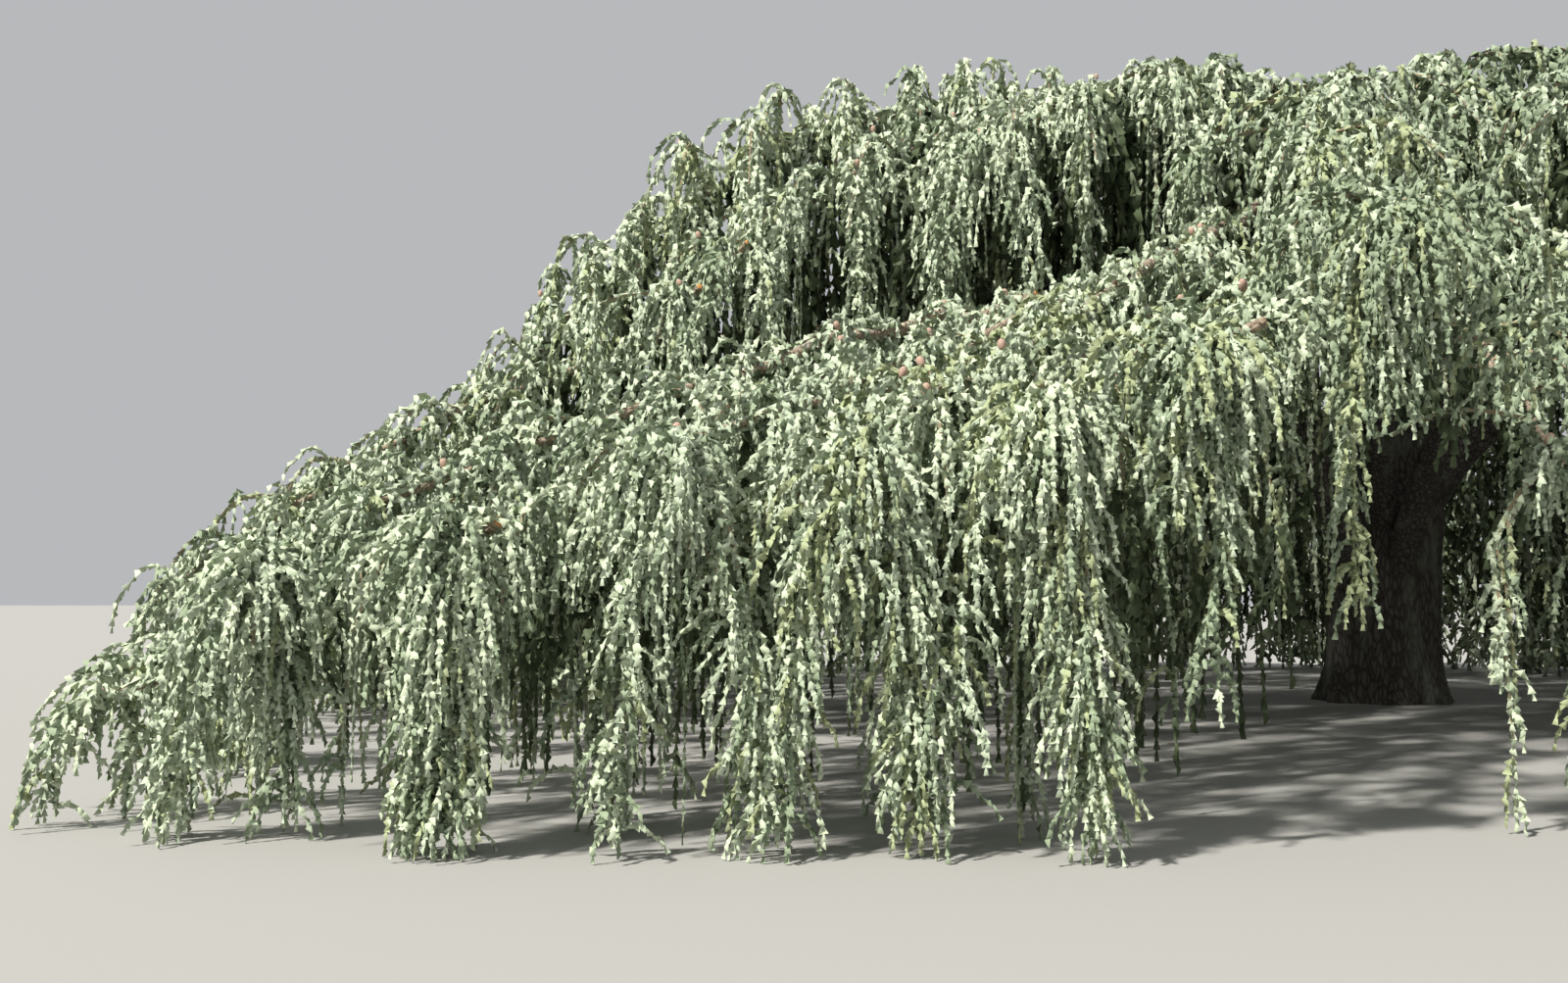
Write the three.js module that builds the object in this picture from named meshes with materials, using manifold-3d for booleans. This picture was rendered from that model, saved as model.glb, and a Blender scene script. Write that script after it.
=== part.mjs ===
// A weeping blue Atlas cedar: one old tree whose limbs run out level and low from a short thick trunk,
// and whose branchlets hang from them as a tent of long curtains.
// Millimetres, +Z up. The origin is on the ground, at the middle of the flat cut under the trunk.
// Headings are degrees round the trunk, counter-clockwise from +X.
import * as THREE from "three";
import { mergeVertices } from "three/addons/utils/BufferGeometryUtils.js";
import Module from "manifold-3d";

const wasm = await Module();
wasm.setup();

// Trunk
const trunkHeight = 9300;
const trunkWaist = 830; // radius of the bole
const trunkWaistHeight = 1500;
const trunkShoulder = 3000; // above this the bole has shed its limbs and narrows to a leader
const trunkLeader = 430; // radius just above the shoulder
const trunkTip = 70;
const trunkLean = 1250; // how far the tip stands off towards +X
const flareReach = 190; // how far the root flare stands out of the bole at the ground
const flareHeight = 900;
const flareLobes = 7;
const trunkSides = 21;
const trunkRings = 11;

// Limbs: from the trunk out to where their boughs leave them.
const limbSides = 5;
const limbRings = 5;
const limbSpring = 1150; // height on the trunk's axis at which the lowest limbs start
const limbSpringStep = 780;
const limbBase = 300; // radius at the trunk
const limbEnd = 140; // radius where the middle bough goes on
const jointGap = 0.3;
const springTurn = [1, 0, 2]; // which step each of three neighbours springs from
const leaving = [0.62, 0.99, 0.76]; // how far along the limb its left, middle and right boughs leave

// Boughs: the stem of each mass of foliage, and its hanging sprays.
const stemSides = 3;
const stemRings = 6;
const stemBase = 105; // radius
const stemTip = 26;
const sprayCount = 5; // sprays on the sides of each stem, besides the one at its tip
const sprayThickness = { twig: 76, needles: 30 }; // along the twig at its top edge, and at its fingers' tips
const fingerWidth = 520; // a spray's blade is cut into two or three hanging fingers about this wide
const smoothing = 3; // the fused mass is smoothed by this much before it is cut clear of its limb
const sprayClearance = 8; // a spray keeps this far from anything of another mass
const sprayTries = [1, 0.75, 0.52]; // a spray that would touch is grown smaller, then skipped
const curtain = 2900; // how long the foliage hangs under a bough
const shortestHang = 350;
const twigLift = 0.13; // a twig rises by this share of its reach before it bends over
const seed = 20;

// The limbs on the side that was measured. Each bough: heading, reach and height of its tip, the height of its
// hem above the ground, how late it droops, and the room on either side of it.
const measuredLimbs = [
  { heading: 203, run: 5400, top: 5300, boughs: [
    { heading: 212.3, reach: 17500, tip: 1050, hem: 50, droop: 2.3, room: 1500 },
    { heading: 203, reach: 18000, tip: 1350, hem: 60, droop: 3, room: 1500 },
    { heading: 193.5, reach: 15900, tip: 3000, hem: 250, droop: 2.4, room: 1600 } ] },
  { heading: 226, run: 6000, top: 5300, boughs: [
    { heading: 230.7, reach: 18300, tip: 1900, hem: 30, droop: 1.5, room: 1150 },
    { heading: 226.4, reach: 18900, tip: 1700, hem: 30, droop: 1.7, room: 1150 },
    { heading: 222, reach: 19500, tip: 700, hem: 30, droop: 1.7, room: 1300 } ] },
  { heading: 237.5, run: 4600, top: 6900, boughs: [
    { heading: 241, reach: 16300, tip: 2700, hem: 30, droop: 1.25, room: 900 },
    { heading: 237.6, reach: 16900, tip: 2450, hem: 30, droop: 1.15, room: 900 },
    { heading: 234, reach: 17500, tip: 2500, hem: 30, droop: 1.1, room: 1000 } ] },
  { heading: 249, run: 5000, top: 6100, boughs: [
    { heading: 253.5, reach: 13800, tip: 2500, hem: 30, droop: 1.7, room: 1100 },
    { heading: 249, reach: 14500, tip: 4100, hem: 1300, droop: 1.7, room: 1200 },
    { heading: 244.7, reach: 15600, tip: 3100, hem: 30, droop: 1.6, room: 900 } ] },
  { heading: 272, run: 5000, top: 5700, boughs: [
    { heading: 283, reach: 13800, tip: 3000, hem: 700, droop: 2, room: 2000 },
    { heading: 272.5, reach: 14000, tip: 3300, hem: 1000, droop: 2.1, room: 1900 },
    { heading: 262, reach: 14200, tip: 3700, hem: 1300, droop: 2, room: 1800 } ] },
];
// The rest of the tree carries on the same way round, four limbs with three boughs each.
const farLimbs = { count: 4, from: 318, to: 519, run: 5000, top: 5600, apart: 22.4 };
const farReach = { start: 13300, back: 12200, end: 14800 };
const farTip = 2500;
const farHem = 450;
const farRoom = 2800;

// Upper boughs spring from the leader itself, in turn from three heights.
const upperSpring = 5500;
const upperSpringStep = 520;
const upperBoughs = [
  { heading: 199, top: 8850, run: 4300, reach: 14400, tip: 3700, hem: 2700, droop: 3, room: 1700 },
  { heading: 208, top: 8500, run: 3800, reach: 12700, tip: 4900, hem: 3100, droop: 2.6, room: 1700 },
  { heading: 218, top: 9000, run: 3400, reach: 9700, tip: 6900, hem: 4600, droop: 2, room: 1800 },
  { heading: 241, top: 8500, run: 3300, reach: 8900, tip: 6300, hem: 4400, droop: 2, room: 1800 },
  { heading: 269, top: 8300, run: 3100, reach: 8400, tip: 6100, hem: 3900, droop: 2, room: 2000 },
  { heading: 312, top: 8600, run: 3100, reach: 8000, tip: 6100, hem: 3600, droop: 2, room: 2900 },
  { heading: 3, top: 8500, run: 3100, reach: 7800, tip: 6100, hem: 3600, droop: 2, room: 2900 },
  { heading: 55, top: 8400, run: 3100, reach: 7700, tip: 6000, hem: 3600, droop: 2, room: 2900 },
  { heading: 106, top: 8600, run: 3100, reach: 8000, tip: 6000, hem: 3600, droop: 2, room: 2900 },
  { heading: 156, top: 9000, run: 3300, reach: 9700, tip: 6300, hem: 3700, droop: 2, room: 2900 },
];
// The heads of foliage at the top of the leader.
const crownHeads = [
  { heading: 190, spring: 7700, top: 9350, run: 1300, reach: 3700, tip: 8900, hem: 6300, droop: 2, room: 1300 },
  { heading: 70, spring: 8800, top: 10300, run: 450, reach: 1400, tip: 9900, hem: 7000, droop: 2, room: 1200 },
  { heading: 340, spring: 8300, top: 10150, run: 900, reach: 2900, tip: 9300, hem: 6700, droop: 2, room: 1300 },
];

const bark = new THREE.MeshStandardMaterial({ color: 0x5b4a3c, roughness: 0.95, metalness: 0 });
const needles = new THREE.MeshStandardMaterial({ color: 0x8fa593, roughness: 0.8, metalness: 0 });

const radians = THREE.MathUtils.degToRad;
const lerp = THREE.MathUtils.lerp;

// A repeatable stream of numbers from 0 to 1.
function numbers(start) {
  let state = start >>> 0;
  return () => {
    state = (state + 0x6d2b79f5) >>> 0;
    let mixed = Math.imul(state ^ (state >>> 15), state | 1);
    mixed = (mixed + Math.imul(mixed ^ (mixed >>> 7), mixed | 61)) ^ mixed;
    return ((mixed ^ (mixed >>> 14)) >>> 0) / 4294967296;
  };
}

// A closed tapering rod: a cone's rings are carried along the path, each at its own radius.
function rod(pathAt, radiusAt, sides, rings, tipRadius) {
  const shape = tipRadius > 0
    ? new THREE.CylinderGeometry(1, 1, 1, sides, rings)
    : new THREE.ConeGeometry(1, 1, sides, rings);
  const position = shape.getAttribute("position");
  const up = new THREE.Vector3(0.013, 0.021, 1).normalize();
  const vertex = new THREE.Vector3();
  for (let i = 0; i < position.count; i += 1) {
    vertex.fromBufferAttribute(position, i);
    const share = THREE.MathUtils.clamp(vertex.y + 0.5, 0, 1);
    const coneRadius = tipRadius > 0 ? 1 : Math.max(1 - share, 1e-6);
    const centre = pathAt(share);
    const along = pathAt(Math.min(share + 0.01, 1)).sub(pathAt(Math.max(share - 0.01, 0))).normalize();
    const side = new THREE.Vector3().crossVectors(along, up).normalize();
    const over = new THREE.Vector3().crossVectors(side, along);
    const radius = radiusAt(share);
    centre.addScaledVector(side, (vertex.x / coneRadius) * radius);
    centre.addScaledVector(over, (vertex.z / coneRadius) * radius);
    position.setXYZ(i, centre.x, centre.y, centre.z);
  }
  return shape;
}

// A three.js shape as a manifold solid.
function solid(shape) {
  const bare = new THREE.BufferGeometry().setAttribute("position", shape.getAttribute("position"));
  bare.setIndex(shape.index);
  const merged = mergeVertices(bare, 1e-3);
  return new wasm.Manifold(new wasm.Mesh({
    numProp: 3,
    vertProperties: new Float32Array(merged.getAttribute("position").array),
    triVerts: new Uint32Array(merged.index.array),
  }));
}

// A manifold solid as a named mesh.
function mesh(name, body, material) {
  const made = body.getMesh();
  const shape = new THREE.BufferGeometry();
  shape.setAttribute("position", new THREE.BufferAttribute(Float32Array.from(made.vertProperties), 3));
  shape.setIndex(new THREE.BufferAttribute(Uint32Array.from(made.triVerts), 1));
  shape.computeVertexNormals();
  const piece = new THREE.Mesh(shape, material);
  piece.name = name;
  return piece;
}

// The main piece of a cut solid, without the scraps that a cut can leave.
function mainPiece(body) {
  return body.decompose().reduce((most, piece) => (piece.volume() > most.volume() ? piece : most));
}

// The trunk's axis and its radius, from the ground to the leader's tip.
function trunkAxis(height) {
  const share = height / trunkHeight;
  return new THREE.Vector3(trunkLean * share * share, 0, height);
}

function trunkRadius(height) {
  if (height < trunkShoulder) {
    const foot = Math.max(0, 1 - height / trunkWaistHeight);
    return trunkWaist * (1 + 0.08 * foot * foot);
  }
  const share = (height - trunkShoulder) / (trunkHeight - trunkShoulder);
  const shoulder = Math.exp(-share * 14);
  return lerp(lerp(trunkLeader, trunkTip, share), trunkWaist, shoulder);
}

function makeTrunk(extra) {
  const shape = new THREE.CylinderGeometry(1, 1, 1, trunkSides, trunkRings);
  const position = shape.getAttribute("position");
  for (let i = 0; i < position.count; i += 1) {
    const share = THREE.MathUtils.clamp(position.getY(i) + 0.5, 0, 1);
    const height = trunkHeight * share ** 1.7;
    const across = Math.hypot(position.getX(i), position.getZ(i));
    const angle = Math.atan2(-position.getZ(i), position.getX(i));
    const foot = Math.max(0, 1 - height / flareHeight);
    const lobe = 0.55 + 0.45 * Math.cos(flareLobes * angle);
    const radius = across * (trunkRadius(height) + flareReach * foot * foot * lobe + extra);
    const axis = trunkAxis(height);
    position.setXYZ(i, axis.x + radius * Math.cos(angle), axis.y + radius * Math.sin(angle), height);
  }
  return solid(shape);
}

// A point at a heading and a distance from the trunk's foot.
function polar(heading, distance, height) {
  return new THREE.Vector3(
    distance * Math.cos(radians(heading)), distance * Math.sin(radians(heading)), height);
}

// How far the leaning axis stands off at a height.
function leaning(height) {
  return trunkAxis(height).setZ(0);
}

// A limb rises steeply out of the trunk and levels off at the top of its run.
function limbPath(limb) {
  return (share) => {
    const lift = Math.sin((Math.PI / 2) * share);
    return polar(limb.heading, limb.run * share, lerp(limb.spring, limb.top, lift)).add(leaning(limb.spring));
  };
}

// A bough leaves its limb, turns to its own heading, and droops to its tip.
function boughPath(limb, bough, leave) {
  const start = limbPath(limb)(leave);
  return (share) => {
    const turn = 1 - (1 - share) ** 8;
    const heading = lerp(limb.heading, bough.heading, turn);
    const reach = lerp(limb.run * leave, bough.reach, share);
    return polar(heading, reach, lerp(start.z, bough.tip, share ** bough.droop)).add(leaning(limb.spring));
  };
}

// An upper bough is its own limb: it rises from the leader and droops past its crest.
function upperPath(bough) {
  const crest = bough.run / bough.reach;
  const rise = limbPath(bough);
  return (share) => {
    if (share < crest) return rise(share / crest);
    const past = (share - crest) / (1 - crest);
    return polar(bough.heading, bough.reach * share, lerp(bough.top, bough.tip, past ** bough.droop))
      .add(leaning(bough.spring));
  };
}

// The line of a twig, as height over distance out from the stem: it rises, bends over and starts to hang.
function twigHeight(share, reach, hang) {
  return twigLift * reach * Math.sin(Math.PI * share) - 0.32 * hang * share ** 4;
}

// A spray: a blade of needles under an arching twig, which is its thick top edge, cut into hanging fingers.
function makeSpray(start, heading, reach, hang, fingers) {
  const outline = new THREE.Shape();
  outline.moveTo(0, 0);
  for (const share of [0.35, 0.75]) outline.lineTo(reach * share, twigHeight(share, reach, hang));
  fingers.forEach((finger, i) => {
    const left = 1 - (i + 1) / fingers.length;
    const notch = left + 0.75 / fingers.length;
    if (i > 0) outline.lineTo(reach * notch, twigHeight(notch, reach, hang) - hang * finger.notch);
    outline.lineTo(reach * (left + finger.place / fingers.length), -hang * finger.length);
  });
  const blade = new THREE.ExtrudeGeometry(outline, { depth: 1, bevelEnabled: false });
  const position = blade.getAttribute("position");
  for (let i = 0; i < position.count; i += 1) {
    const below = (twigHeight(position.getX(i) / reach, reach, hang) - position.getY(i)) / hang;
    const thickness = lerp(sprayThickness.twig, sprayThickness.needles, Math.min(1, 3 * Math.max(0, below)));
    position.setZ(i, (position.getZ(i) - 0.5) * thickness);
  }
  blade.rotateX(Math.PI / 2);
  blade.rotateZ(radians(heading));
  blade.translate(start.x, start.y, start.z);
  return solid(blade);
}

const trunk = makeTrunk(0);
const trunkCutter = makeTrunk(jointGap);

// All limbs in order round the trunk, springing in turn from three heights.
const random = numbers(seed);
const limbs = measuredLimbs.map((limb) => ({ ...limb }));
for (let i = 0; i < farLimbs.count; i += 1) {
  const share = i / (farLimbs.count - 1);
  const heading = lerp(farLimbs.from, farLimbs.to, share);
  const reach = lerp(lerp(farReach.start, farReach.end, share), farReach.back, Math.sin(Math.PI * share));
  limbs.push({
    heading,
    run: farLimbs.run,
    top: farLimbs.top + 500 * (random() - 0.5),
    boughs: [1, 0, -1].map((side) => ({
      heading: heading + side * farLimbs.apart,
      reach: reach + 900 * (random() - 0.5),
      tip: farTip + 700 * (random() - 0.5),
      hem: farHem + 700 * (random() - 0.5),
      droop: 1.5 + random(),
      room: farRoom,
    })),
  });
}

const stems = [];
limbs.forEach((limb, i) => {
  const number = String(i + 1).padStart(2, "0");
  limb.spring = limbSpring + limbSpringStep * springTurn[i % 3];
  limb.path = limbPath(limb);
  limb.name = `limb_${number}`;
  const radius = (share) => lerp(limbBase, limbEnd, Math.sqrt(share));
  limb.solid = mainPiece(solid(rod(limb.path, radius, limbSides, limbRings, limbEnd)).subtract(trunkCutter));
  const longer = (share) => limb.path(share * (1 + (1.5 * jointGap) / limb.run));
  limb.cutter = solid(rod(longer, (share) => radius(share) + jointGap, limbSides, limbRings, limbEnd));
  limb.boughs.forEach((bough, j) => {
    stems.push({ ...bough, name: `foliage_${number}_${"abc"[j]}`, path: boughPath(limb, bough, leaving[j]), limb });
  });
});
upperBoughs.forEach((bough, i) => {
  bough.spring = upperSpring + upperSpringStep * (i % 3);
  stems.push({ ...bough, name: `foliage_upper_${String(i + 1).padStart(2, "0")}`, path: upperPath(bough) });
});
crownHeads.forEach((bough, i) => {
  stems.push({ ...bough, name: `foliage_head_${i + 1}`, path: upperPath(bough) });
});

// Every stem is cut clear of what carries it before any spray is grown.
for (const stem of stems) {
  const radius = (share) => lerp(stemBase, stemTip, share);
  stem.cutter = stem.limb ? stem.limb.cutter : trunkCutter;
  stem.whole = solid(rod(stem.path, radius, stemSides, stemRings, stemTip));
  stem.solid = mainPiece(stem.whole.subtract(stem.cutter));
}

// A spray grows only where it stays clear of the trunk, the limbs and every other mass.
function inTheWay(spray, stem) {
  const box = spray.boundingBox();
  const near = (other) => {
    const far = other.boundingBox();
    return [0, 1, 2].every((k) =>
      box.min[k] - sprayClearance < far.max[k] && box.max[k] + sprayClearance > far.min[k]);
  };
  const others = [trunk, ...limbs.map((limb) => limb.solid)];
  for (const other of stems) {
    if (other !== stem) others.push(other.solid);
  }
  return others.some((other) => near(other) && spray.minGap(other, sprayClearance) < sprayClearance);
}

for (const stem of stems) {
  const sprays = [];
  for (let i = 0; i <= sprayCount; i += 1) {
    const atTip = i === sprayCount;
    const share = atTip ? 0.985 : lerp(stem.limb ? 0.06 : 0.22, 1, (i + 0.35) / sprayCount);
    const start = stem.path(share);
    const ahead = stem.path(Math.min(share + 0.01, 1)).sub(stem.path(share - 0.01));
    const along = THREE.MathUtils.radToDeg(Math.atan2(ahead.y, ahead.x));
    const side = i % 2 ? 1 : -1;
    const angle = atTip ? 0 : side * lerp(25, 75, random());
    const reach = (atTip ? 0.5 : lerp(0.65, 1.05, share)) * stem.room * lerp(0.85, 1.1, random());
    const hang = Math.min(curtain * lerp(0.8, 1.1, random()), start.z - stem.hem);
    const fingers = Array.from({ length: reach > 2 * fingerWidth ? 3 : 2 }, () => (
      { length: lerp(0.82, 1, random()), place: lerp(0.42, 0.66, random()), notch: lerp(0.1, 0.25, random()) }));
    if (hang < shortestHang) continue;
    const grown = sprayTries
      .map((size) => makeSpray(start, along + angle, reach * size, hang * size, fingers))
      .find((spray) => !inTheWay(spray, stem));
    if (grown) sprays.push(grown);
  }
  const fused = wasm.Manifold.union([stem.whole, ...sprays]).simplify(smoothing);
  stem.solid = mainPiece(fused.subtract(stem.cutter));
}

const root = new THREE.Group();
root.add(mesh("trunk", trunk, bark));
for (const limb of limbs) root.add(mesh(limb.name, limb.solid, bark));
for (const stem of stems) root.add(mesh(stem.name, stem.solid, needles));

export default root;
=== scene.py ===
import math

import bpy
import numpy as np
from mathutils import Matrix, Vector, noise


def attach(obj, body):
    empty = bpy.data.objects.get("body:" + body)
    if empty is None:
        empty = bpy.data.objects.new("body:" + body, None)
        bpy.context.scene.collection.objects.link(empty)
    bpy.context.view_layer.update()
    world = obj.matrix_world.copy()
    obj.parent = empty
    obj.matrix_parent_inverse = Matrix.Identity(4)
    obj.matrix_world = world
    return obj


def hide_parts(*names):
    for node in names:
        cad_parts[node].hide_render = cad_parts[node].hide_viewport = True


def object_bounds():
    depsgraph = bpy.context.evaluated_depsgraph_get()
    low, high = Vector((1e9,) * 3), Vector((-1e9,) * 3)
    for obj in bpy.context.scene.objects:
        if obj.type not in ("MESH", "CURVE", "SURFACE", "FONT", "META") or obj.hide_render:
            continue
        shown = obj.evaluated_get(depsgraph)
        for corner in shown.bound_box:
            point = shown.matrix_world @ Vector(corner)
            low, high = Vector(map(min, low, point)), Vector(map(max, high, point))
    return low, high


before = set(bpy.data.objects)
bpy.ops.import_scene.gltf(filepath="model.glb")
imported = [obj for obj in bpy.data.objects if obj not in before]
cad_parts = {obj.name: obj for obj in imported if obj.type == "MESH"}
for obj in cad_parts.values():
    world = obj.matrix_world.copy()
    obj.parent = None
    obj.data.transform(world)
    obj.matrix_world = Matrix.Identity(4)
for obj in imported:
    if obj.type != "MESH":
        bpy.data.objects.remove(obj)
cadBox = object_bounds()


# helpers

fullTurn = 6.28  # radians


def lerp(low, high, share):
    return low + (high - low) * share


def clamped(value):
    return min(max(value, 0), 1)


def startFresh():
    if bpy.context.object and bpy.context.object.mode != "OBJECT":
        bpy.ops.object.mode_set(mode="OBJECT")
    bpy.ops.object.select_all(action="DESELECT")


# the same repeatable stream of numbers as the solids were grown with
def numbers(start):
    state = [start]

    def draw():
        state[0] = (state[0] + 0x6D2B79F5) & 0xFFFFFFFF
        value = state[0]
        mixed = ((value ^ (value >> 15)) * (value | 1)) & 0xFFFFFFFF
        mixed = ((mixed + ((mixed ^ (mixed >> 7)) * (mixed | 61) & 0xFFFFFFFF)) ^ mixed) & 0xFFFFFFFF
        return ((mixed ^ (mixed >> 14)) & 0xFFFFFFFF) / 4294967296

    return draw


# a socket that sums and products can be written with
class Wire:
    def __init__(self, finish, socket):
        self.finish = finish
        self.socket = socket

    def maths(self, operation, first, second):
        return self.finish.node("ShaderNodeMath", {"operation": operation}, {0: first, 1: second})

    def __add__(self, other):
        return self.maths("ADD", self, other)

    def __radd__(self, other):
        return self.maths("ADD", other, self)

    def __mul__(self, other):
        return self.maths("MULTIPLY", self, other)

    def __rmul__(self, other):
        return self.maths("MULTIPLY", other, self)


# a material that is put together by hand
class Finish:
    def __init__(self, name, roughness):
        self.material = bpy.data.materials.new(name)
        self.material.use_nodes = True
        self.tree = self.material.node_tree
        self.shader = self.tree.nodes["Principled BSDF"]
        self.shader.inputs["Roughness"].default_value = roughness

    def node(self, kind, settings=None, sockets=None, out=0):
        made = self.tree.nodes.new(kind)
        for name, value in (settings or {}).items():
            setattr(made, name, value)
        for name, value in (sockets or {}).items():
            if isinstance(value, Wire):
                self.tree.links.new(value.socket, made.inputs[name])
            else:
                made.inputs[name].default_value = value
        return Wire(self, made.outputs[out])

    def place(self, scale):
        coordinates = self.node("ShaderNodeTexCoord", out="Object")
        return self.node("ShaderNodeMapping", sockets={"Vector": coordinates, "Scale": scale})

    def mottle(self, place, scale, detail=3):
        return self.node("ShaderNodeTexNoise", sockets={"Vector": place, "Scale": scale, "Detail": detail})

    def mix(self, factor, first, second):
        made = self.tree.nodes.new("ShaderNodeMix")
        made.data_type = "RGBA"
        for name, value in (("Factor", factor), ("A", first), ("B", second)):
            socket = next(s for s in made.inputs if s.name == name and s.enabled)
            if isinstance(value, Wire):
                self.tree.links.new(value.socket, socket)
            else:
                socket.default_value = value if name == "Factor" else (*value, 1)
        return Wire(self, next(s for s in made.outputs if s.enabled))

    def feed(self, name, wire):
        self.tree.links.new(wire.socket, self.shader.inputs[name])


# camera, light and floor

view = {
    "place": (-9.34, -23.9, 1.6),
    "pitch": 3.99,
    "lens": 35, "sensor": 36, "farClip": 1000,
    "sunHeight": 52, "sunSide": -52, "sunStrength": 5.5, "sunSoftness": 4, "sunColour": (1, 0.97, 0.9),
    "skyStrength": 0.5, "skyColour": (0.95, 0.97, 1),
    "floorSize": 600, "floorColour": (0.36, 0.355, 0.34), "floorRoughness": 0.9,
}


def setStage():
    startFresh()
    bpy.ops.object.camera_add(location=view["place"], rotation=(math.radians(90 + view["pitch"]), 0, 0))
    camera = bpy.context.object
    camera.data.lens = view["lens"]
    camera.data.sensor_width = view["sensor"]
    camera.data.clip_end = view["farClip"]
    bpy.context.scene.camera = camera

    tilt = math.radians(90 - view["sunHeight"])
    bpy.ops.object.light_add(type="SUN", rotation=(tilt, 0, math.radians(view["sunSide"])))
    sun = bpy.context.object.data
    sun.energy = view["sunStrength"]
    sun.angle = math.radians(view["sunSoftness"])
    sun.color = view["sunColour"]

    world = bpy.data.worlds.new("sky")
    bpy.context.scene.world = world
    bpy.context.scene.view_settings.view_transform = "Standard"
    world.use_nodes = True
    background = world.node_tree.nodes["Background"]
    background.inputs["Color"].default_value = (*view["skyColour"], 1)
    background.inputs["Strength"].default_value = view["skyStrength"]

    startFresh()
    bpy.ops.mesh.primitive_plane_add(size=view["floorSize"])
    floor = bpy.context.object
    floor.name = "floor"
    finish = Finish("floor", view["floorRoughness"])
    finish.shader.inputs["Base Color"].default_value = (*view["floorColour"], 1)
    floor.data.materials.append(finish.material)
    print("stage set")


setStage()


# the tree's own rule, as in the solids

trunkShape = {
    "height": 9.3,
    "waist": 0.83,
    "waistHeight": 1.5,
    "swell": 0.08,  # how much thicker the foot is, as a share
    "shoulder": 3.0,
    "narrowing": 14,  # how fast the bole narrows above its shoulder
    "leader": 0.43,
    "tip": 0.07,
    "lean": 1.25,
    "flareReach": 0.19, "flareHeight": 0.9, "flareLobes": 7,
    "lobes": (0.55, 0.45),  # how far the root flare stands out on average, and how much more at a lobe
    "sides": 96, "rings": 120,
    "grading": 1.25,  # above 1, the rings are closer together at the foot
    "ridge": 0.035, "ridgeStretch": 0.3, "ridgeScale": 6,
    "smoothAngle": 50,
}

limbShape = {
    "seed": 20,
    "spring": 1.15, "springStep": 0.78, "springTurn": (1, 0, 2),
    "leaving": (0.62, 0.99, 0.76),
    "turning": 8,  # the higher, the sooner a bough turns from its limb's heading to its own
    "base": 0.3, "end": 0.14,
    "ridge": 0.02, "ridgeStretch": 0.7, "ridgeScale": 7,
    "smoothAngle": 60,
    "points": 70,  # along each limb and bough
    "stemBase": 0.105, "stemTip": 0.02,
    "fullStem": 9,  # a bough shorter than this starts thinner
    "leastTaper": 1.4,
    "sway": 0.13, "swayScale": 1.1, "swaySeed": 3,
}

# each limb: heading, run and top, then heading, reach, tip, hem, droop and room of its boughs
measuredLimbs = [
    (203, 5.4, 5.3, [
        (212.3, 17.5, 1.05, 0.05, 2.3, 1.5),
        (203, 18, 1.35, 0.06, 3, 1.5),
        (193.5, 15.9, 3, 0.25, 2.4, 1.6)]),
    (226, 6, 5.3, [
        (230.7, 18.3, 1.9, 0.03, 1.5, 1.15),
        (226.4, 18.9, 1.7, 0.03, 1.7, 1.15),
        (222, 19.5, 0.7, 0.03, 1.7, 1.3)]),
    (237.5, 4.6, 6.9, [
        (241, 16.3, 2.7, 0.03, 1.25, 0.9),
        (237.6, 16.9, 2.45, 0.03, 1.15, 0.9),
        (234, 17.5, 2.5, 0.03, 1.1, 1)]),
    (249, 5, 6.1, [
        (253.5, 13.8, 2.5, 0.03, 1.7, 1.1),
        (249, 14.5, 4.1, 1.3, 1.7, 1.2),
        (244.7, 15.6, 3.1, 0.03, 1.6, 0.9)]),
    (272, 5, 5.7, [
        (283, 13.8, 3, 0.7, 2, 2),
        (272.5, 14, 3.3, 1, 2.1, 1.9),
        (262, 14.2, 3.7, 1.3, 2, 1.8)]),
]
farLimbs = {
    "count": 4, "from": 318, "to": 519, "run": 5, "top": 5.6, "apart": 22.4,
    "start": 13.3, "back": 12.2, "end": 14.8, "tip": 2.5, "hem": 0.45, "droop": 1.5, "room": 2.8,
    "topVaries": 0.5, "reachVaries": 0.9, "tipVaries": 0.7, "hemVaries": 0.7,
}
# heading, top, run, reach, tip, hem, droop and room
upperBoughs = [
    (199, 8.85, 4.3, 14.4, 3.7, 2.7, 3, 1.7),
    (208, 8.5, 3.8, 12.7, 4.9, 3.1, 2.6, 1.7),
    (218, 9, 3.4, 9.7, 6.9, 4.6, 2, 1.8),
    (241, 8.5, 3.3, 8.9, 6.3, 4.4, 2, 1.8),
    (269, 8.3, 3.1, 8.4, 6.1, 3.9, 2, 2),
    (312, 8.6, 3.1, 8, 6.1, 3.6, 2, 2.9),
    (3, 8.5, 3.1, 7.8, 6.1, 3.6, 2, 2.9),
    (55, 8.4, 3.1, 7.7, 6, 3.6, 2, 2.9),
    (106, 8.6, 3.1, 8, 6, 3.6, 2, 2.9),
    (156, 9, 3.3, 9.7, 6.3, 3.7, 2, 2.9),
]
upperSpring = {"from": 5.5, "step": 0.52}
# heading, spring, top, run, reach, tip, hem, droop and room
crownHeads = [
    (190, 7.7, 9.35, 1.3, 3.7, 8.9, 6.3, 2, 1.3),
    (70, 8.8, 10.3, 0.45, 1.4, 9.9, 7, 2, 1.2),
    (340, 8.3, 10.15, 0.9, 2.9, 9.3, 6.7, 2, 1.3),
]

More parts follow.
